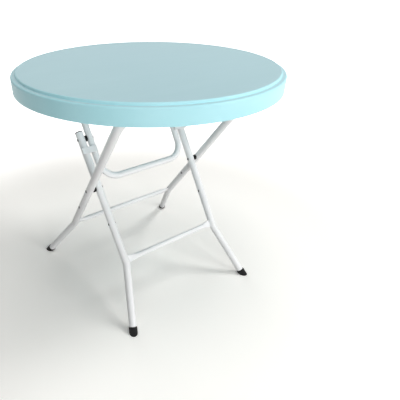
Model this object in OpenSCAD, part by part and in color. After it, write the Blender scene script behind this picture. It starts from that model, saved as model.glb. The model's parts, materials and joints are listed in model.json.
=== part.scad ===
// Folding bistro table: round moulded top on two crossing tube frames and a folding link.
// X runs along the hinge axes, Y to the back, Z up. The origin is on the floor under the middle.

/* [Tabletop] */
// Diameter of the tabletop, measured over the skirt
table_d = 780; // [740:10:820]
// Height of the top surface above the floor
table_h = 740; // [720:5:770]
// Height of the skirt, from the top surface down
skirt_h = 48; // [44:1:52]
// Thickness of the moulded top panel
panel_t = 5; // [4:0.5:6]
// Thickness of the skirt wall
skirt_t = 4; // [3:0.5:5]
// Distance of the middle of the groove from the outer edge
groove_inset = 11.5; // [10.5:0.5:12.5]
// Radius of the rounded shoulder outside the groove
shoulder_r = 5; // [4.5:0.5:6]
// Height of the ribs under the top panel
rib_h = 8; // [6:0.5:9]
// Thickness of the ribs under the top panel
rib_t = 3; // [2:0.5:4]

/* [Frames] */
// Outer diameter of the frame tubes
leg_od = 25; // [22:0.5:26]
// Wall thickness of all tubes
tube_wall = 1.2; // [1:0.1:1.5]
// Height of the crossing pivot above the floor
cross_z = 396; // [385:1:405]
// Depth of the tabletop hinges below the top surface
hinge_drop = 27; // [26:0.5:30]
// Lean of the outer frame from upright
outer_lean = 37.2; // [36.5:0.1:38]
// Lean of the inner frame's upper legs from upright
inner_lean = 35.3; // [35:0.1:36]
// Lean of the inner frame's lower legs from upright
inner_low_lean = 36; // [35:0.1:38]
// Half distance between the upper legs of the outer frame
outer_half = 228.5; // [226:0.5:236]
// Half distance between the upper legs of the inner frame
inner_half = 194.5; // [193:0.5:196]
// Half distance between the outer feet
outer_foot_half = 300; // [285:1:320]
// Half distance between the inner feet
inner_foot_half = 258; // [240:1:275]
// Height of the bends and stretchers above the floor
bend_z = 180; // [165:1:195]
// Height of the inner frame's seams between upper and lower legs
inner_seam_z = 271; // [255:1:290]
// Height of the outer frame's seams between upper and lower legs
outer_seam_z = 279; // [260:1:300]
// Bend radius at the top corners of the outer frame
bow_r = 90; // [70:1:100]
// Bend radius above the lower legs
knee_r = 45; // [35:1:60]

/* [Link] */
// Outer diameter of the link tube
link_od = 22; // [20:0.5:23]
// Half distance between the link arms
link_half = 164; // [162:0.5:165]
// Distance from the crossing pivot to the link pivot
inner_reach = 160.5; // [158:0.5:163]
// Distance of the link hinge behind the middle of the tabletop
link_hinge_y = 222; // [220:0.2:224]
// Distance from the link pivot down to the link's rail
link_tail = 140; // [120:1:150]
// Bend radius of the link's lower corners
link_r = 58; // [40:1:70]

/* [Feet and stretchers] */
// Outer diameter of the stretchers
bar_od = 18; // [16:0.5:20]
// Outer diameter of the foot caps
foot_od = 28.5; // [27.5:0.5:32]
// Height of a foot cap along the leg, measured from the floor
foot_l = 21; // [19:0.5:26]

/* [Hidden] */
$fn = 64;

// Colours
turquoise = [0.69, 0.87, 0.89];
powder_white = [0.95, 0.95, 0.94];
black = [0.07, 0.07, 0.08];
zinc = [0.75, 0.76, 0.78];

// Clearances and small sizes
over = 2;             // how far every cut runs past the face that it opens
upright = 0.001;      // sine under which a direction counts as upright
run_gap = 0.08;       // radial clearance of a pin in the bore it turns in
free_gap = 0.4;       // air between faces of pieces that move past each other
seat_gap = 0.1;       // clearance between pieces of one frame that are slid together
pin_d = 8;            // shank of the pivot rivets and hinge pins
head_d = 10;          // dome of the pivot rivets
head_h = 2.4;         // height of that dome
small_pin_d = 5;      // shank of the joint rivets
small_head_d = 9;     // dome of those rivets
small_head_h = 2;     // height of that dome
leg_r = leg_od / 2;
leg_id = leg_od - 2 * tube_wall;
link_tube_r = link_od / 2;

// Points in the side view, as [y, z]
hinge_z = table_h - hinge_drop;
hinge_rise = hinge_z - cross_z;
cross_p = [0, cross_z];
rail_p = [-hinge_rise * tan(outer_lean), hinge_z];
outer_foot_p = [cross_z * tan(outer_lean), 0];
outer_knee_p = [(cross_z - bend_z) * tan(outer_lean), bend_z];
outer_seam_p = [(cross_z - outer_seam_z) * tan(outer_lean), outer_seam_z];
link_p = cross_p + inner_reach * [sin(inner_lean), cos(inner_lean)];
inner_knee_p = [-(cross_z - bend_z) * tan(inner_lean), bend_z];
inner_seam_p = [-(cross_z - inner_seam_z) * tan(inner_lean), inner_seam_z];
inner_foot_p = [inner_knee_p[0] - bend_z * tan(inner_low_lean), 0];
link_hinge_p = [link_hinge_y, hinge_z];
link_lean = atan2(link_hinge_p[0] - link_p[0], link_hinge_p[1] - link_p[1]);
link_up = [sin(link_lean), cos(link_lean)];
link_rail_p = link_p - link_tail * link_up;

// Directions square to the legs in the side view, away from the other frame
outer_out = [cos(outer_lean), sin(outer_lean)];
inner_out = [-cos(inner_lean), sin(inner_lean)];
link_out = [-cos(link_lean), sin(link_lean)];

// Tube joints, plugs and feet
spigot_l = 45;        // length of the reduced end inside the upper tube
seam_gap = 0.8;       // open joint between upper and lower tube, over the reduced end
collar_l = 3;         // length of the ring that joins the reduced end to the tube
joint_rivet_up = 30;  // distance of the joint rivet above the seam
leg_top_l = 22;       // inner leg above the link pivot
arm_top_l = 10;       // link arm above its hinge pin
tube_end = 14.5;       // where a leg tube ends inside its cap, measured from the floor
foot_lip = 1.2;       // rounding of the cap's upper edge
foot_toe = 26;        // cap below the floor point, cut off level with the floor
plug_lip_h = 3;       // visible rim of a leg plug
plug_l = 16;          // part of a leg plug inside the tube
tab_t = 3;            // thickness of a stretcher's flattened end
tab_w = 25;           // width of a stretcher's flattened end
tab_l = 5;            // length of a stretcher's flattened end
bend_lap = 1;         // straight tube past the start of a bend
bend_slim = 0.05;     // wall of a bend inside the wall of the straight tube, on each side
taper_l = 33;         // length of the change from round to flat
bar_lift = 12;        // stretcher above the bend, measured along the leg
washer_d = 19;        // washers between the legs

// Points that follow from them
inner_up = unit(link_p - cross_p);
inner_top_p = link_p + leg_top_l * inner_up;
outer_rivet_p = outer_seam_p + joint_rivet_up * unit(rail_p - outer_seam_p);
inner_rivet_p = inner_seam_p + joint_rivet_up * inner_up;

// Tabletop details
edge_r = 4;           // rounded edge of the flat centre
groove_r = 3.5;       // radius of the bottom of the groove
groove_d = 5;         // depth of the groove below the top surface
join_turn = 8;        // turn left out where two curves of the edge meet
skirt_flare = 1;      // skirt wider at its lower edge, on the radius
arc_steps = 8;        // straight steps in a rounded corner of an outline
ring_share = 0.36;    // radius of the ring rib, as a share of the tabletop's radius
ray_count = 12;       // ribs that run outward from the ring rib
block_w = 30;         // clamp block along X
block_y = 66;         // clamp block along Y
clamp_in = 5;         // clamp blocks, from the ends of the rail's straight part inward
clamp_x = outer_half - bow_r - clamp_in - block_w / 2; // clamps left and right of the middle one
strap_w = 24;         // strap along X
strap_t = 2;          // thickness of a strap
screw_d = 5;          // shank of the screws
screw_head_d = 10;    // head of the screws
screw_head_h = 2.6;   // height of that head
clamp_screw_y = 23;   // screws in front of and behind the rail
clamp_screw_l = 12;   // clamp screw above its head
ear_t = 2.5;          // bracket ears
ear_gap = 0.8;        // air between an ear and the link arm
ear_r = 13;           // round end of an ear
plate_t = 2.5;        // bracket base plate
plate_y = 62;         // bracket base plate along Y
plate_x = link_od + 2 * (ear_gap + ear_t); // width over the ears
plate_screw_y = 22;   // screws in front of and behind the hinge pin
pad_t = 2;            // pad under a bracket, inside the ribs
pin_head_d = 13;      // heads of the hinge pins
pin_head_h = 2.5;     // height of those heads

// The rounded edge of the flat centre, the groove and the shoulder touch each other smoothly
wall_r = table_d / 2 - skirt_flare;
groove_mid = table_d / 2 - groove_inset;
edge_turn = asin(1 - groove_d / (edge_r + groove_r));
flat_r = groove_mid - (edge_r + groove_r) * cos(edge_turn);
shoulder_turn = acos((wall_r - groove_mid - shoulder_r) / (shoulder_r + groove_r));
shoulder_z = table_h - groove_d + groove_r - (shoulder_r + groove_r) * sin(shoulder_turn);

// Stop brackets
stop_w = 20;          // along the link arm
stop_t = 2.5;         // thickness of the bracket
stop_drop = 39;       // middle of the bracket below the link pivot
stop_gap = 1;         // air between the bracket and the inner leg, before the link locks
stop_lip = 9;         // side flange round the inner leg

function unit(v) = v / norm(v);
function in_x(x, p) = [x, p[0], p[1]];
function turn_at(a, c, b) = acos(unit(c - a) * unit(b - c));
function set_back(pts, i, r) = r * tan(turn_at(pts[i - 1], pts[i], pts[i + 1]) / 2);
function arc(c, r, a0, a1) =
    [for (i = [0:arc_steps]) let (a = a0 + (a1 - a0) * i / arc_steps) c + r * [cos(a), sin(a)]];

// Places its children with Z along the line from a to b
module aim(a, b) {
    z = unit(b - a);
    side = cross([0, 0, 1], z);
    x = norm(side) < upright ? [1, 0, 0] : unit(side);
    y = cross(z, x);
    multmatrix([
        [x[0], y[0], z[0], a[0]],
        [x[1], y[1], z[1], a[1]],
        [x[2], y[2], z[2], a[2]],
        [0, 0, 0, 1]
    ]) children();
}

// Places its children with Z along X, at a point of the side view
module across(x, p) {
    translate(in_x(x, p)) rotate([0, 90, 0]) children();
}

// The same with Z against X
module across_back(x, p) {
    translate(in_x(x, p)) rotate([0, -90, 0]) children();
}

// Tube along a line of points, with bends of one radius
module tube_path(pts, r_bend, od) {
    last = len(pts) - 1;
    for (i = [0:last - 1]) {
        u = unit(pts[i + 1] - pts[i]);
        a = pts[i] + (i == 0 ? 0 : set_back(pts, i, r_bend) - bend_lap) * u;
        b = pts[i + 1] - (i + 1 == last ? 0 : set_back(pts, i + 1, r_bend) - bend_lap) * u;
        aim(a, b) difference() {
            cylinder(h = norm(b - a), d = od);
            translate([0, 0, -over]) cylinder(h = norm(b - a) + 2 * over, d = od - 2 * tube_wall);
        }
    }
    for (i = [1:1:last - 1]) tube_bend(pts[i - 1], pts[i], pts[i + 1], r_bend, od);
}

// Bend round the corner c, its ends let into the walls of the straight tubes
module tube_bend(a, c, b, r, od) {
    u = unit(c - a);
    v = unit(b - c);
    turn = acos(u * v);
    n = unit(cross(u, v));
    inward = cross(n, u);
    centre = c - r * tan(turn / 2) * u + r * inward;
    multmatrix([
        [-inward[0], u[0], n[0], centre[0]],
        [-inward[1], u[1], n[1], centre[1]],
        [-inward[2], u[2], n[2], centre[2]],
        [0, 0, 0, 1]
    ]) rotate_extrude(angle = turn) translate([r, 0]) difference() {
        circle(d = od - 2 * bend_slim);
        circle(d = od - 2 * tube_wall + 2 * bend_slim);
    }
}

// Hole across a tube, along X
module cross_bore(x, p, d, reach) {
    across(x - reach, p) cylinder(h = 2 * reach, d = d);
}

// Low dome of a rivet on the plane z = 0
module dome(d, h) {
    ball_r = (d * d / 4 + h * h) / (2 * h);
    intersection() {
        translate([0, 0, h - ball_r]) sphere(r = ball_r);
        cylinder(h = h + over, d = d);
    }
}

// Frame on a leg: origin at a point of the side view, z square to the leg on its outward side, y along it
module on_leg(p, out) {
    multmatrix([
        [1, 0, 0, 0],
        [0, out[1], out[0], p[0]],
        [0, -out[0], out[1], p[1]],
        [0, 0, 0, 1]
    ]) children();
}

module both_sides() {
    children();
    mirror([1, 0, 0]) children();
}

// tabletop
// Section of the tabletop, as [radius, z]
function tabletop_section() =
    let (rim_under = table_h - groove_d - panel_t)
    concat(
        [[0, table_h]],
        arc([flat_r, table_h - edge_r], edge_r, 90, edge_turn),
        arc([groove_mid, table_h - groove_d + groove_r], groove_r,
            180 + edge_turn + join_turn, 360 - shoulder_turn - join_turn),
        arc([wall_r - shoulder_r, shoulder_z], shoulder_r, 180 - shoulder_turn, 0),
        [
            [table_d / 2, table_h - skirt_h],
            [table_d / 2 - skirt_t, table_h - skirt_h],
            [wall_r - skirt_t, rim_under],
            [flat_r, rim_under],
            [flat_r - panel_t, table_h - panel_t],
            [0, table_h - panel_t]
        ]
    );

module ribs() {
    ring_r = ring_share * table_d / 2;
    h = rib_h + panel_t / 2;
    translate([0, 0, table_h - panel_t - rib_h]) {
        difference() {
            cylinder(h = h, r = ring_r + rib_t / 2);
            translate([0, 0, -over]) cylinder(h = h + 2 * over, r = ring_r - rib_t / 2);
        }
        for (i = [0:ray_count - 1]) rotate(i * 360 / ray_count)
            translate([ring_r, -rib_t / 2, 0]) cube([flat_r - ring_r, rib_t, h]);
    }
}

// Block that the outer frame's top rail is strapped to
module clamp_block(x) {
    translate([x - block_w / 2, rail_p[0] - block_y / 2, hinge_z + free_gap])
        cube([block_w, block_y, hinge_drop - free_gap - panel_t / 2]);
}

module bracket_pad() {
    translate([link_half - plate_x / 2, link_hinge_y - plate_y / 2, table_h - panel_t - pad_t])
        cube([plate_x, plate_y, pad_t + panel_t / 2]);
}

module tabletop() {
    hole_d = screw_d + 2 * seat_gap;
    color(turquoise) difference() {
        union() {
            rotate_extrude() polygon(tabletop_section());
            ribs();
            for (x = [-clamp_x, 0, clamp_x]) clamp_block(x);
            both_sides() bracket_pad();
        }
        for (x = [-clamp_x, 0, clamp_x]) {
            across(x - block_w / 2 - over, rail_p)
                cylinder(h = block_w + 2 * over, r = leg_r + free_gap);
            for (y = [-clamp_screw_y, clamp_screw_y]) translate([x, rail_p[0] + y, hinge_z])
                cylinder(h = clamp_screw_l, d = hole_d);
        }
        both_sides() for (y = [-plate_screw_y, plate_screw_y])
            translate([link_half, link_hinge_y + y, table_h - panel_t - pad_t - over])
                cylinder(h = over + pad_t + panel_t / 2, d = hole_d);
    }
}

// Strap under the top rail, with a flange in front of and behind it
module rail_clamp(x) {
    x0 = x - strap_w / 2;
    difference() {
        union() {
            across(x0, rail_p) cylinder(h = strap_w, r = leg_r + free_gap + strap_t);
            translate([x0, rail_p[0] - block_y / 2, hinge_z - strap_t]) cube([strap_w, block_y, strap_t]);
        }
        across(x0 - over, rail_p) cylinder(h = strap_w + 2 * over, r = leg_r + free_gap);
        translate([x0 - over, rail_p[0] - block_y, hinge_z]) cube([strap_w + 2 * over, 2 * block_y, leg_od]);
        for (y = [-clamp_screw_y, clamp_screw_y]) translate([x, rail_p[0] + y, hinge_z - strap_t - over])
            cylinder(h = strap_t + 2 * over, d = screw_d + 2 * seat_gap);
    }
}

module rail_clamps() {
    color(zinc) for (x = [-clamp_x, 0, clamp_x]) rail_clamp(x);
}

// Pan-head screw pointing up, its head under the plane z = 0
module screw_up(l) {
    translate([0, 0, -screw_head_h]) cylinder(h = screw_head_h, d = screw_head_d);
    cylinder(h = l, d = screw_d);
}

module clamp_screws() {
    color(zinc) for (x = [-clamp_x, 0, clamp_x], y = [-clamp_screw_y, clamp_screw_y])
        translate([x, rail_p[0] + y, hinge_z - strap_t]) screw_up(clamp_screw_l);
}

// Channel that carries the upper end of one link arm
module link_bracket() {
    plate_z = table_h - panel_t - pad_t - plate_t;
    difference() {
        union() {
            translate([link_half - plate_x / 2, link_hinge_y - plate_y / 2, plate_z])
                cube([plate_x, plate_y, plate_t]);
            for (x = [link_half - plate_x / 2, link_half + plate_x / 2 - ear_t]) {
                across(x, link_hinge_p) cylinder(h = ear_t, r = ear_r);
                translate([x, link_hinge_y - ear_r, hinge_z])
                    cube([ear_t, 2 * ear_r, plate_z + plate_t / 2 - hinge_z]);
            }
        }
        cross_bore(link_half, link_hinge_p, pin_d + 2 * seat_gap, plate_x);
        for (y = [-plate_screw_y, plate_screw_y]) translate([link_half, link_hinge_y + y, plate_z - over])
            cylinder(h = plate_t + 2 * over, d = screw_d + 2 * seat_gap);
    }
}

module link_brackets() {
    color(zinc) both_sides() link_bracket();
}

module bracket_screws() {
    color(zinc) both_sides() for (y = [-plate_screw_y, plate_screw_y])
        translate([link_half, link_hinge_y + y, table_h - panel_t - pad_t - plate_t])
            screw_up(plate_t + pad_t + panel_t / 2 - seat_gap);
}

module link_hinge_pins() {
    x0 = link_half - plate_x / 2;
    color(zinc) both_sides() {
        across_back(x0, link_hinge_p) cylinder(h = pin_head_h, d = pin_head_d);
        across(x0, link_hinge_p) cylinder(h = plate_x, d = pin_d);
        across(x0 + plate_x, link_hinge_p) cylinder(h = pin_head_h, d = pin_head_d);
    }
}

// pieces used in both frames
// Lower leg with its knee, and the reduced end that slides into the upper tube
module lower_leg(half, seam, knee, foot, foot_half) {
    seam_x = in_x(half, seam);
    knee_x = in_x(half, knee);
    foot_x = in_x(foot_half, foot);
    up = unit(seam_x - knee_x);
    top = seam_x - seam_gap * up;
    rivet = seam_x + joint_rivet_up * up;
    spigot_od = leg_id - 2 * seat_gap;
    inner_l = collar_l + seam_gap + spigot_l;
    difference() {
        union() {
            tube_path([top, knee_x, foot_x + tube_end * unit(knee_x - foot_x)], knee_r, leg_od);
            aim(top - collar_l * up, top) difference() {
                union() {
                    cylinder(h = collar_l / 2, d = leg_od - tube_wall);
                    cylinder(h = inner_l, d = spigot_od);
                }
                translate([0, 0, -over]) cylinder(h = inner_l + 2 * over, d = spigot_od - 2 * tube_wall);
            }
        }
        cross_bore(half, [rivet[1], rivet[2]], small_pin_d + 2 * seat_gap, leg_od);
    }
}

// Stretcher between the legs of one frame, its ends pressed flat and welded to the legs' inner sides
module stretcher(half, knee, out) {
    end_x = half - leg_r - seat_gap;
    flat_x = end_x - tab_l;
    round_x = flat_x - taper_l;
    // along a leg that leans back, upward is the other direction
    lift = out[0] > 0 ? -bar_lift : bar_lift;
    on_leg(knee, out) translate([0, lift, 0]) {
        translate([-round_x, 0, 0]) rotate([0, 90, 0]) difference() {
            cylinder(h = 2 * round_x, d = bar_od);
            translate([0, 0, -over]) cylinder(h = 2 * (round_x + over), d = bar_od - 2 * tube_wall);
        }
        both_sides() hull() {
            translate([round_x - tab_t, 0, 0]) rotate([0, 90, 0]) cylinder(h = tab_t, d = bar_od, $fn = 32);
            translate([flat_x, -tab_w / 2, -tab_t / 2]) cube([tab_l, tab_w, tab_t]);
        }
    }
}

// Rivet through a tube joint, with a dome on each side
module joint_rivets(half, p) {
    color(zinc) both_sides() {
        across(half - leg_r, p) cylinder(h = leg_od, d = small_pin_d);
        across(half + leg_r, p) dome(small_head_d, small_head_h);
        across_back(half - leg_r, p) dome(small_head_d, small_head_h);
    }
}

// Cap on the end of a leg, cut level with the floor
module foot_cap(foot, foot_half, knee, half) {
    foot_x = in_x(foot_half, foot);
    r = foot_od / 2;
    color(black) intersection() {
        aim(foot_x, in_x(half, knee)) difference() {
            rotate_extrude() polygon(concat(
                [[0, -foot_toe], [r, -foot_toe]],
                arc([r - foot_lip, foot_l - foot_lip], foot_lip, 0, 90),
                [[0, foot_l]]
            ));
            translate([0, 0, tube_end - seat_gap]) cylinder(h = foot_l, r = leg_r + seat_gap);
        }
        translate([foot_x[0] - 2 * foot_l, foot_x[1] - 2 * foot_l, 0])
            cube([4 * foot_l, 4 * foot_l, 2 * foot_l]);
    }
}

// outer frame
module outer_bow() {
    reach = outer_half + leg_od;
    color(powder_white) difference() {
        tube_path([
            in_x(-outer_half, outer_seam_p), in_x(-outer_half, rail_p),
            in_x(outer_half, rail_p), in_x(outer_half, outer_seam_p)
        ], bow_r, leg_od);
        cross_bore(0, cross_p, pin_d + 2 * seat_gap, reach);
        cross_bore(0, outer_rivet_p, small_pin_d + 2 * seat_gap, reach);
    }
}

module outer_lower_leg(s) {
    color(powder_white)
        lower_leg(s * outer_half, outer_seam_p, outer_knee_p, outer_foot_p, s * outer_foot_half);
}

module outer_left_lower_leg() { outer_lower_leg(-1); }
module outer_right_lower_leg() { outer_lower_leg(1); }
module outer_stretcher() { color(powder_white) stretcher(outer_half, outer_knee_p, outer_out); }
module outer_left_foot() { foot_cap(outer_foot_p, -outer_foot_half, outer_knee_p, -outer_half); }
module outer_right_foot() { foot_cap(outer_foot_p, outer_foot_half, outer_knee_p, outer_half); }
module outer_joint_rivets() { joint_rivets(outer_half, outer_rivet_p); }

// Rivets on which the inner frame turns
module frame_pivot_rivets() {
    x0 = inner_half - leg_r - free_gap;
    color(zinc) both_sides() {
        across_back(x0, cross_p) dome(head_d, head_h);
        across(x0, cross_p) cylinder(h = outer_half + leg_r - x0, d = pin_d);
        across(outer_half + leg_r, cross_p) dome(head_d, head_h);
    }
}

module washer(x0, x1, p) {
    across(x0, p) difference() {
        cylinder(h = x1 - x0, d = washer_d);
        translate([0, 0, -over]) cylinder(h = x1 - x0 + 2 * over, d = pin_d + 2 * seat_gap);
    }
}

module frame_pivot_washers() {
    color(black) both_sides()
        washer(inner_half + leg_r + free_gap, outer_half - leg_r - seat_gap, cross_p);
}

// inner frame
module inner_upper_leg(s) {
    color(powder_white) difference() {
        tube_path([in_x(s * inner_half, inner_top_p), in_x(s * inner_half, inner_seam_p)], knee_r, leg_od);
        cross_bore(s * inner_half, cross_p, pin_d + 2 * run_gap, leg_od);
        cross_bore(s * inner_half, link_p, pin_d + 2 * seat_gap, leg_od);
        cross_bore(s * inner_half, inner_rivet_p, small_pin_d + 2 * seat_gap, leg_od);
    }
}

module inner_lower_leg(s) {
    color(powder_white)
        lower_leg(s * inner_half, inner_seam_p, inner_knee_p, inner_foot_p, s * inner_foot_half);
}

module inner_left_upper_leg() { inner_upper_leg(-1); }
module inner_right_upper_leg() { inner_upper_leg(1); }
module inner_left_lower_leg() { inner_lower_leg(-1); }
module inner_right_lower_leg() { inner_lower_leg(1); }
module inner_stretcher() { color(powder_white) stretcher(inner_half, inner_knee_p, inner_out); }
module inner_left_foot() { foot_cap(inner_foot_p, -inner_foot_half, inner_knee_p, -inner_half); }
module inner_right_foot() { foot_cap(inner_foot_p, inner_foot_half, inner_knee_p, inner_half); }
module inner_joint_rivets() { joint_rivets(inner_half, inner_rivet_p); }

module inner_leg_plugs() {
    top = in_x(inner_half, inner_top_p);
    rim_r = plug_lip_h / 2;
    color(black) both_sides() aim(top, top + in_x(0, inner_up)) {
        rotate_extrude() polygon(concat(
            [[0, 0], [leg_r, 0]],
            arc([leg_r - rim_r, plug_lip_h - rim_r], rim_r, 0, 90),
            [[0, plug_lip_h]]
        ));
        translate([0, 0, -plug_l]) cylinder(h = plug_l, d = leg_id - 2 * seat_gap);
    }
}

// Part of each link pivot that stays in the inner frame
module link_pivot_rivets() {
    x0 = link_half + link_tube_r + free_gap;
    color(zinc) both_sides() {
        across(x0, link_p) cylinder(h = inner_half + leg_r - x0, d = pin_d);
        across(inner_half + leg_r, link_p) dome(head_d, head_h);
    }
}

module link_pivot_washers() {
    color(black) both_sides()
        washer(link_half + link_tube_r + free_gap, inner_half - leg_r - seat_gap, link_p);
}

// link
module link_bow() {
    top = link_hinge_p + arm_top_l * link_up;
    reach = link_half + link_od;
    color(powder_white) difference() {
        tube_path([
            in_x(-link_half, top), in_x(-link_half, link_rail_p),
            in_x(link_half, link_rail_p), in_x(link_half, top)
        ], link_r, link_od);
        cross_bore(0, link_hinge_p, pin_d + 2 * run_gap, reach);
        cross_bore(0, link_p, pin_d + 2 * seat_gap, reach);
    }
}

// Part of each link pivot that stays in the link arm
module link_rivet_tails() {
    x0 = link_half - link_tube_r;
    color(zinc) both_sides() {
        across_back(x0, link_p) dome(head_d, head_h);
        across(x0, link_p) cylinder(h = link_od, d = pin_d);
    }
}

// Plate welded to each link arm that laps over the front of the inner leg
module stop_bracket() {
    x_in = link_half - link_tube_r / 2;
    x_out = inner_half + leg_r + free_gap + stop_t;
    low = leg_r + stop_gap;
    on_leg(link_p, link_out) translate([0, -stop_drop, 0]) difference() {
        union() {
            translate([x_in, -stop_w / 2, low]) cube([x_out - x_in, stop_w, stop_t]);
            translate([x_in, -stop_w / 2, link_tube_r / 2])
                cube([link_tube_r, stop_w, low + stop_t / 2 - link_tube_r / 2]);
            translate([x_out - stop_t, -stop_w / 2, low + stop_t - stop_lip])
                cube([stop_t, stop_w, stop_lip]);
        }
        translate([link_half, -stop_w / 2 - over, 0]) rotate([-90, 0, 0])
            cylinder(h = stop_w + 2 * over, r = link_tube_r + seat_gap);
    }
}

module stop_brackets() {
    color(powder_white) both_sides() stop_bracket();
}

tabletop();
rail_clamps();
clamp_screws();
link_brackets();
bracket_screws();
link_hinge_pins();
outer_bow();
outer_left_lower_leg();
outer_right_lower_leg();
outer_stretcher();
outer_left_foot();
outer_right_foot();
outer_joint_rivets();
frame_pivot_rivets();
frame_pivot_washers();
inner_left_upper_leg();
inner_right_upper_leg();
inner_left_lower_leg();
inner_right_lower_leg();
inner_stretcher();
inner_left_foot();
inner_right_foot();
inner_joint_rivets();
inner_leg_plugs();
link_pivot_rivets();
link_pivot_washers();
link_bow();
link_rivet_tails();
stop_brackets();
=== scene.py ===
import json
import math

import bmesh
import bpy
from mathutils import Matrix, Vector


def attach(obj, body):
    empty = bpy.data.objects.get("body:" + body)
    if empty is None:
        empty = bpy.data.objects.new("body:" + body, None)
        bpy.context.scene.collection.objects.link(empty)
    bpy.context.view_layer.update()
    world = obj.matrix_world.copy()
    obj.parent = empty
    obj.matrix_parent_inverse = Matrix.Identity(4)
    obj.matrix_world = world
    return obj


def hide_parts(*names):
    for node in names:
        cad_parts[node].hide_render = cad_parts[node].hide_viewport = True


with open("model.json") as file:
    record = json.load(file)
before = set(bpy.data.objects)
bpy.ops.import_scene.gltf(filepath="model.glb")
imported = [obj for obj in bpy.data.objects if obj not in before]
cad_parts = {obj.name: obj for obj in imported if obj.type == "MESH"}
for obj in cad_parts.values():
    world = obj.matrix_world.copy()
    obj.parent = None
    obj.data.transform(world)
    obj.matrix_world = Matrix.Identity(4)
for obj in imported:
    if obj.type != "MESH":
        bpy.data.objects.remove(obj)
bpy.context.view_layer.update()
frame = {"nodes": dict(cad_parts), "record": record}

NODES = frame["nodes"]
SCENE = bpy.context.scene


# Materials: small helpers

def new_material(name, roughness, metallic=0.0, specular=0.5):
    """A material with a Principled shader; returns the material, its node tree and the shader."""
    mat = bpy.data.materials.new(name)
    mat.use_nodes = True
    tree = mat.node_tree
    shader = next(n for n in tree.nodes if n.type == "BSDF_PRINCIPLED")
    shader.inputs["Roughness"].default_value = roughness
    shader.inputs["Metallic"].default_value = metallic
    shader.inputs["Specular IOR Level"].default_value = specular
    return mat, tree, shader


def object_coords(tree, scale=(1, 1, 1)):
    coords = tree.nodes.new("ShaderNodeTexCoord")
    mapping = tree.nodes.new("ShaderNodeMapping")
    mapping.inputs["Scale"].default_value = scale
    tree.links.new(coords.outputs["Object"], mapping.inputs["Vector"])
    return mapping.outputs["Vector"]


def noise(tree, vector, scale, detail=2.0, rough=0.5):
    tex = tree.nodes.new("ShaderNodeTexNoise")
    tex.inputs["Scale"].default_value = scale
    tex.inputs["Detail"].default_value = detail
    tex.inputs["Roughness"].default_value = rough
    tree.links.new(vector, tex.inputs["Vector"])
    return tex.outputs["Fac"]


def ramp(tree, value, stops):
    """Colour ramp; stops are (position, colour)."""
    node = tree.nodes.new("ShaderNodeValToRGB")
    points = node.color_ramp.elements
    while len(points) < len(stops):
        points.new(1.0)
    for point, (position, colour) in zip(points, stops):
        point.position = position
        point.color = (*colour, 1)
    tree.links.new(value, node.inputs["Fac"])
    return node.outputs["Color"]


def remap(tree, value, low, high):
    node = tree.nodes.new("ShaderNodeMapRange")
    node.inputs["To Min"].default_value = low
    node.inputs["To Max"].default_value = high
    tree.links.new(value, node.inputs["Value"])
    return node.outputs["Result"]


def bump(tree, shader, height, distance, strength):
    node = tree.nodes.new("ShaderNodeBump")
    node.inputs["Distance"].default_value = distance
    node.inputs["Strength"].default_value = strength
    tree.links.new(height, node.inputs["Height"])
    tree.links.new(node.outputs["Normal"], shader.inputs["Normal"])


def mix(tree, factor, a, b):
    """Mix of two colours by a factor; each is a socket."""
    node = tree.nodes.new("ShaderNodeMix")
    node.data_type = "RGBA"
    tree.links.new(factor, node.inputs["Factor"])
    tree.links.new(a, node.inputs[6])
    tree.links.new(b, node.inputs[7])
    return node.outputs[2]


def srgb(r, g, b):
    """Linear colour from 8-bit display values."""
    def linear(v):
        v /= 255
        return v / 12.92 if v <= 0.04045 else ((v + 0.055) / 1.055) ** 2.4
    return tuple(linear(v) for v in (r, g, b))


# Materials of the record's slots

FLAT_FROM = 0.97          # Z of a normal from which a face starts to count as looking up


def up_sheen_mask(tree):
    """Mask of the painted sheen: 0 on the sides of a piece and 1 on the faces that look up, in
    the piece's own frame.
    """
    coords = tree.nodes.new("ShaderNodeTexCoord")
    split = tree.nodes.new("ShaderNodeSeparateXYZ")
    tree.links.new(coords.outputs["Normal"], split.inputs[0])
    node = tree.nodes.new("ShaderNodeMapRange")
    node.interpolation_type = "SMOOTHSTEP"
    node.inputs["From Min"].default_value = FLAT_FROM
    tree.links.new(split.outputs["Z"], node.inputs["Value"])
    return node.outputs["Result"]


def top_plastic():
    """Turquoise moulded plastic with faint streaks and a fine grain, greyer on its flat top,
    where a sheen of reflected white light is painted into the colour.
    """
    mat, tree, shader = new_material("top_plastic", roughness=0.42, specular=0.4)
    streaks = noise(tree, object_coords(tree, (1, 4.5, 4)), scale=3.2, detail=5, rough=0.62)
    clouds = noise(tree, object_coords(tree), scale=2.1, detail=2)
    # The flat top's colours are greyer than the sides': a painted sheen of reflected white light
    # on the faces that look up.
    pale = ramp(tree, streaks, [(0.30, srgb(181, 219, 225)), (0.72, srgb(187, 223, 228))])
    deep = ramp(tree, streaks, [(0.30, srgb(177, 216, 224)), (0.72, srgb(183, 219, 228))])
    side = ramp(tree, streaks, [(0.30, srgb(178, 231, 239)), (0.72, srgb(186, 235, 243))])
    flat = mix(tree, clouds, deep, pale)
    # Painted sheen: the side colour gives way to the greyer top colour where the faces look up.
    tree.links.new(mix(tree, up_sheen_mask(tree), side, flat), shader.inputs["Base Color"])
    tree.links.new(remap(tree, streaks, 0.38, 0.50), shader.inputs["Roughness"])
    bump(tree, shader, noise(tree, object_coords(tree), scale=900, detail=2), 0.0004, 0.12)
    return mat


def white_steel():
    """White powder coat on steel tube, with its orange peel."""
    mat, tree, shader = new_material("white_steel", roughness=0.34, specular=0.45)
    patches = noise(tree, object_coords(tree), scale=9, detail=3)
    colour = ramp(tree, patches, [(0.3, srgb(238, 239, 240)), (0.7, srgb(246, 247, 247))])
    tree.links.new(colour, shader.inputs["Base Color"])
    tree.links.new(remap(tree, patches, 0.28, 0.42), shader.inputs["Roughness"])
    bump(tree, shader, noise(tree, object_coords(tree), scale=420, detail=2), 0.0005, 0.10)
    return mat


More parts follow.
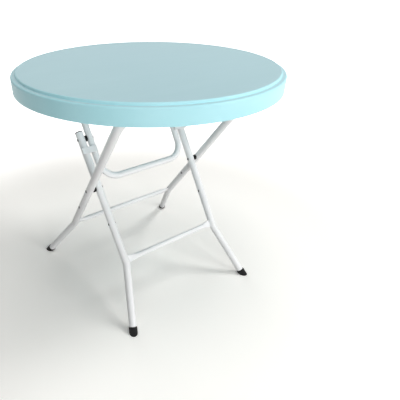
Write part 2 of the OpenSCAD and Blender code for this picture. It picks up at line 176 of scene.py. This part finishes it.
def black_plastic():
    """Black moulded plastic with a fine texture, dusty in places."""
    mat, tree, shader = new_material("black_plastic", roughness=0.55, specular=0.25)
    dust = noise(tree, object_coords(tree), scale=60, detail=5, rough=0.6)
    colour = ramp(tree, dust, [(0.40, srgb(10, 10, 11)), (0.80, srgb(28, 28, 29))])
    tree.links.new(colour, shader.inputs["Base Color"])
    tree.links.new(remap(tree, dust, 0.40, 0.62), shader.inputs["Roughness"])
    bump(tree, shader, noise(tree, object_coords(tree), scale=1400, detail=1), 0.0003, 0.25)
    return mat


def zinc():
    """Zinc-plated steel that has darkened, a little uneven."""
    mat, tree, shader = new_material("zinc", roughness=0.34, metallic=1.0)
    spangle = noise(tree, object_coords(tree), scale=160, detail=3)
    colour = ramp(tree, spangle, [(0.3, srgb(96, 97, 100)), (0.7, srgb(128, 129, 131))])
    tree.links.new(colour, shader.inputs["Base Color"])
    tree.links.new(remap(tree, spangle, 0.26, 0.46), shader.inputs["Roughness"])
    bump(tree, shader, noise(tree, object_coords(tree), scale=700, detail=2), 0.0003, 0.15)
    return mat


MATERIALS = {
    "top_plastic": top_plastic(),
    "white_steel": white_steel(),
    "black_plastic": black_plastic(),
    "zinc": zinc(),
}

for row in frame["record"]["subparts"]:
    node = NODES[row["node"]]
    node.data.materials.clear()
    node.data.materials.append(MATERIALS[row["material_slot"]])


# Tabletop: the moulded step and shoulder of its rim, lower than in the solid.
# Points are (radius, height) in metres.

EDGE_R = 0.004            # rounded edge of the flat centre
EDGE_LEAD = EDGE_R / 10   # from the flat's radius out to the middle of that edge
STEP_FOOT = (0.3760, 0.7349)   # foot of the step inside the ledge, before its hollow corner
CORNER_R = 0.001          # hollow corner between the step and the ledge
SHOULDER_R = 0.0055       # rounded shoulder outside the ledge
SHOULDER_MID = (0.3835, 0.7277)
SKIRT_FOOT = (0.390, 0.692)    # outer lower edge of the skirt
SKIRT_SKIN = 0.3865       # radius between the skirt's outer and inner face
LEDGE_LOW = 0.7335        # height below which only the skirt's outer face belongs to the rim
LEVEL_TOL = 1e-6          # points of the flat top lie this close to its height
RING_TOL = 1e-5           # points of a ring lie this close to its radius, and weld this close
SHARP_TURN = math.radians(28)  # edges that turn more than this stay sharp


def smooth_piece(name, bm, slot):
    """A smooth-shaded object in the scene from a bmesh, with the material of a slot."""
    mesh = bpy.data.meshes.new(name)
    bm.to_mesh(mesh)
    bm.free()
    for face in mesh.polygons:
        face.use_smooth = True
    mesh.materials.append(MATERIALS[slot])
    piece = bpy.data.objects.new(name, mesh)
    SCENE.collection.objects.link(piece)
    return piece


def arc(mid, radius, start, end, steps):
    """Points of an arc as (radius, height), angles in degrees from the horizontal."""
    turns = (math.radians(start + (end - start) * i / steps) for i in range(steps + 1))
    return [(mid[0] + radius * math.cos(t), mid[1] + radius * math.sin(t)) for t in turns]


def rim_profile(flat_r, height):
    """Points of the rim from the edge of the flat top outward and down to the skirt's foot."""
    edge_mid = (flat_r + EDGE_LEAD, height - EDGE_R)
    corner_mid = (STEP_FOOT[0] + CORNER_R, STEP_FOOT[1])
    skirt_head = (SHOULDER_MID[0] + SHOULDER_R, SHOULDER_MID[1])
    skirt_mid = tuple((a + b) / 2 for a, b in zip(skirt_head, SKIRT_FOOT))
    return (
        [(flat_r, height)]
        + arc(edge_mid, EDGE_R, 90, 8, 10)
        + arc(corner_mid, CORNER_R, 180, 266, 6)
        + arc(SHOULDER_MID, SHOULDER_R, 86, 2, 12)
        + [skirt_mid, SKIRT_FOOT]
    )


def moulded_top():
    """The tabletop's mesh with its rim taken off and lofted again.

    The last ring meets the solid's own lower edge, which has other segments, and isn't welded
    to it except at one point, so a fine seam stays open under the skirt.
    """
    bm = bmesh.new()
    bm.from_mesh(NODES["tabletop"].data)
    bmesh.ops.remove_doubles(bm, verts=bm.verts, dist=LEVEL_TOL)
    height = max(v.co.z for v in bm.verts)
    flat = [v for v in bm.verts if v.co.z > height - LEVEL_TOL]
    flat_r = max(v.co.xy.length for v in flat)

    def on_rim(v):
        r = v.co.xy.length
        return r > SKIRT_SKIN or (v.co.z > LEDGE_LOW and r > flat_r - RING_TOL)

    level_top = set(flat)
    rim = [
        f for f in bm.faces
        if all(map(on_rim, f.verts)) and not level_top.issuperset(f.verts)
    ]
    bmesh.ops.delete(bm, geom=rim, context="FACES")
    turns = sorted(
        math.atan2(v.co.y, v.co.x) for v in flat if v.co.xy.length > flat_r - RING_TOL)
    rings = [
        [bm.verts.new((r * math.cos(t), r * math.sin(t), z)) for t in turns]
        for r, z in rim_profile(flat_r, height)
    ]
    for inner, outer in zip(rings, rings[1:]):
        for i in range(len(turns)):
            bm.faces.new((inner[i - 1], outer[i - 1], outer[i], inner[i]))
    bmesh.ops.remove_doubles(bm, verts=bm.verts, dist=RING_TOL)
    piece = smooth_piece("moulded_top", bm, "top_plastic")
    piece.data.set_sharp_from_angle(angle=SHARP_TURN)
    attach(piece, "top")
    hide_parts("tabletop")


moulded_top()


# Weld beads round the pressed ends of the stretchers

WELD_R = 0.0014           # mean radius of a bead
WELD_RIPPLE = 0.14        # ripples of a bead, as a share of its radius
WELD_RIPPLES = 22         # ripples round one end
WELD_STEPS = 96           # rings of points round one end
WELD_SIDES = 10           # points of a ring
END_TOL = 1e-4            # points of an end face lie this close to its plane


def end_outline(node, side):
    """Middle of a stretcher's end face, its long and short direction, and half of each size."""
    mesh = NODES[node].data
    reach = max(v.co.x * side for v in mesh.vertices)
    face = [v.co.copy() for v in mesh.vertices if v.co.x * side > reach - END_TOL]
    lo = Vector(min(p[k] for p in face) for k in range(3))
    hi = Vector(max(p[k] for p in face) for k in range(3))
    mid = (lo + hi) / 2
    yy, zz, yz = (sum(f(p - mid) for p in face) for f in (
        lambda d: d.y * d.y, lambda d: d.z * d.z, lambda d: d.y * d.z))
    turn = math.atan2(2 * yz, yy - zz) / 2
    along = Vector((0, math.cos(turn), math.sin(turn)))
    across = Vector((0, -math.sin(turn), math.cos(turn)))
    half_l = max(abs((p - mid).dot(along)) for p in face)
    half_w = max(abs((p - mid).dot(across)) for p in face)
    return mid, along, across, half_l, half_w


def weld_bead(bm, node, side):
    """A closed, rippled bead along the outline of one end, two straights and two half circles."""
    mid, along, across, half_l, half_w = end_outline(node, side)
    straight = half_l - half_w
    lap = 4 * straight + 2 * math.pi * half_w
    rings = []
    for i in range(WELD_STEPS):
        s = lap * i / WELD_STEPS
        if s < 2 * straight:
            spot, out = (straight - s, half_w), (0, 1)
        elif s < 2 * straight + math.pi * half_w:
            t = math.pi / 2 + (s - 2 * straight) / half_w
            out = (math.cos(t), math.sin(t))
            spot = (-straight + half_w * out[0], half_w * out[1])
        elif s < 4 * straight + math.pi * half_w:
            spot, out = (s - 3 * straight - math.pi * half_w, -half_w), (0, -1)
        else:
            t = -math.pi / 2 + (s - 4 * straight - math.pi * half_w) / half_w
            out = (math.cos(t), math.sin(t))
            spot = (straight + half_w * out[0], half_w * out[1])
        centre = mid + along * spot[0] + across * spot[1]
        away = along * out[0] + across * out[1]
        ripple = math.sin(2 * math.pi * WELD_RIPPLES * i / WELD_STEPS)
        r = WELD_R * (1 + WELD_RIPPLE * ripple)
        turns = (2 * math.pi * k / WELD_SIDES for k in range(WELD_SIDES))
        rings.append([
            bm.verts.new(centre + (away * math.cos(t) + Vector((side * math.sin(t), 0, 0))) * r)
            for t in turns
        ])
    for i in range(WELD_STEPS):
        for k in range(WELD_SIDES):
            a, b = rings[i - 1], rings[i]
            bm.faces.new((a[k - 1], a[k], b[k], b[k - 1]))


def welds(node, body):
    bm = bmesh.new()
    for side in (-1, 1):
        weld_bead(bm, node, side)
    bmesh.ops.recalc_face_normals(bm, faces=bm.faces)
    piece = smooth_piece(node + "_welds", bm, "white_steel")
    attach(piece, body)


for frame_name in ("outer", "inner"):
    welds(frame_name + "_stretcher", frame_name + "_frame")


# Camera at the photograph's viewing angle

CAMERA_PLACE = Vector((-0.6801, -0.9589, 0.9743))
CAMERA_YAW = math.radians(34.544)     # from +Y towards +X
CAMERA_PITCH = math.radians(-37.856)
CAMERA_ROLL = math.radians(-0.39)
CAMERA_LENS = 33.179                  # mm on a sensor 36 mm wide
CAMERA_SHIFT = (0.1411, 0.1204)

ahead = Vector((
    math.sin(CAMERA_YAW) * math.cos(CAMERA_PITCH),
    math.cos(CAMERA_YAW) * math.cos(CAMERA_PITCH),
    math.sin(CAMERA_PITCH),
))
level = Vector((math.cos(CAMERA_YAW), -math.sin(CAMERA_YAW), 0))
above = level.cross(ahead)
right = level * math.cos(CAMERA_ROLL) + above * math.sin(CAMERA_ROLL)
top = above * math.cos(CAMERA_ROLL) - level * math.sin(CAMERA_ROLL)

camera_data = bpy.data.cameras.new("camera")
camera_data.sensor_width = 36
camera_data.lens = CAMERA_LENS
camera_data.shift_x, camera_data.shift_y = CAMERA_SHIFT
camera_data.dof.use_dof = False
camera_data.clip_end = 60
camera = bpy.data.objects.new("camera", camera_data)
turn = Matrix((right, top, -ahead)).transposed()
camera.matrix_world = Matrix.Translation(CAMERA_PLACE) @ turn.to_4x4()
SCENE.collection.objects.link(camera)
SCENE.camera = camera


# Light and floor

def softbox(name, place, aim, size, power, mirrored=True):
    """A large lamp; one that isn't mirrored leaves no bright patch in glossy surfaces."""
    light = bpy.data.lights.new(name, "AREA")
    light.shape = "RECTANGLE"
    light.size, light.size_y = size
    light.energy = power
    lamp = bpy.data.objects.new(name, light)
    lamp.location = place
    lamp.rotation_mode = "QUATERNION"
    lamp.rotation_quaternion = (Vector(aim) - Vector(place)).to_track_quat("-Z", "Y")
    lamp.visible_glossy = mirrored
    SCENE.collection.objects.link(lamp)


softbox("overhead", (0, 0, 4.4), (0, 0, 0), (2.0, 2.0), 36)
softbox("key", (3.74, -1.27, 5.15), (0, 0, 0.4), (1.9, 1.9), 112)
softbox("front_right", (1.5, -5.4, 1.55), (0, 0, 0.5), (2.2, 1.4), 128, mirrored=False)
softbox("front_left", (-1.8, -5.2, 1.5), (0, 0, 0.5), (2.2, 1.4), 100, mirrored=False)
softbox("left_fill", (-5.0, 2.6, 1.6), (0, 0, 0.5), (3.0, 2.0), 11, mirrored=False)
softbox("back_fill", (1.2, 5.4, 1.8), (0, 0, 0.5), (3.0, 2.0), 45, mirrored=False)

WORLD_FILL = 0.14         # strength of the world where it only lights the table

world = bpy.data.worlds.new("world")
SCENE.world = world
world.use_nodes = True
background = world.node_tree.nodes["Background"]
background.inputs["Color"].default_value = (1, 1, 1, 1)
background.inputs["Strength"].default_value = WORLD_FILL


def seen_rays(tree):
    """1 on rays of the camera, a mirror or glass, which see the white surroundings."""
    path = tree.nodes.new("ShaderNodeLightPath")
    rays = path.outputs["Is Camera Ray"]
    for name in ("Is Glossy Ray", "Is Transmission Ray"):
        top_of = tree.nodes.new("ShaderNodeMath")
        top_of.operation = "MAXIMUM"
        tree.links.new(rays, top_of.inputs[0])
        tree.links.new(path.outputs[name], top_of.inputs[1])
        rays = top_of.outputs[0]
    return rays


def choose(tree, factor, a, b, output):
    """Shader a where the factor is 0 and b where it is 1."""
    node = tree.nodes.new("ShaderNodeMixShader")
    tree.links.new(factor, node.inputs["Fac"])
    tree.links.new(a, node.inputs[1])
    tree.links.new(b, node.inputs[2])
    tree.links.new(node.outputs[0], output)


def white_world():
    """The world is pure white where the camera, a mirror or glass sees it."""
    tree = world.node_tree
    seen = tree.nodes.new("ShaderNodeBackground")
    seen.inputs["Color"].default_value = (1, 1, 1, 1)
    seen.inputs["Strength"].default_value = 1.0
    surface = tree.nodes["World Output"].inputs["Surface"]
    choose(tree, seen_rays(tree), background.outputs[0], seen.outputs[0], surface)


FLOOR_HALF = 16.0         # half the side of the floor
FLOOR_NEAR = 0.85         # radius inside which the floor glows not at all
FLOOR_FAR = 1.9           # radius outside which it is white
FLOOR_SEEN = (0.645, 0.635, 0.61, 1)   # each of the two layers that the camera sees
FLOOR_OTHER = (0.62, 0.60, 0.58, 1)    # for all other rays, so that little turquoise comes back


def far_white(tree):
    """0 round the table and 1 far from it, where the floor turns into the white background."""
    coords = tree.nodes.new("ShaderNodeTexCoord")
    away = tree.nodes.new("ShaderNodeVectorMath")
    away.operation = "LENGTH"
    tree.links.new(coords.outputs["Object"], away.inputs[0])
    node = tree.nodes.new("ShaderNodeMapRange")
    node.interpolation_type = "SMOOTHSTEP"
    node.inputs["From Min"].default_value = FLOOR_NEAR
    node.inputs["From Max"].default_value = FLOOR_FAR
    tree.links.new(away.outputs["Value"], node.inputs["Value"])
    return node.outputs["Result"]


def floor():
    """A plain pale floor; two layers of diffuse white keep its seen shade light."""
    h = FLOOR_HALF
    mesh = bpy.data.meshes.new("floor")
    mesh.from_pydata([(-h, -h, 0), (h, -h, 0), (h, h, 0), (-h, h, 0)], [], [(0, 1, 2, 3)])
    plane = bpy.data.objects.new("floor", mesh)
    SCENE.collection.objects.link(plane)
    mat, tree, shader = new_material("floor", roughness=0.9, specular=0.0)
    shader.inputs["Base Color"].default_value = FLOOR_OTHER
    seen = tree.nodes.new("ShaderNodeEmission")
    tree.links.new(far_white(tree), seen.inputs["Strength"])
    for _ in range(2):
        lit = tree.nodes.new("ShaderNodeBsdfDiffuse")
        lit.inputs["Color"].default_value = FLOOR_SEEN
        both = tree.nodes.new("ShaderNodeAddShader")
        tree.links.new(lit.outputs[0], both.inputs[0])
        tree.links.new(seen.outputs[0], both.inputs[1])
        seen = both
    surface = tree.nodes["Material Output"].inputs["Surface"]
    choose(tree, seen_rays(tree), shader.outputs[0], seen.outputs[0], surface)
    mesh.materials.append(mat)


white_world()
floor()

SCENE.view_settings.view_transform = "Standard"
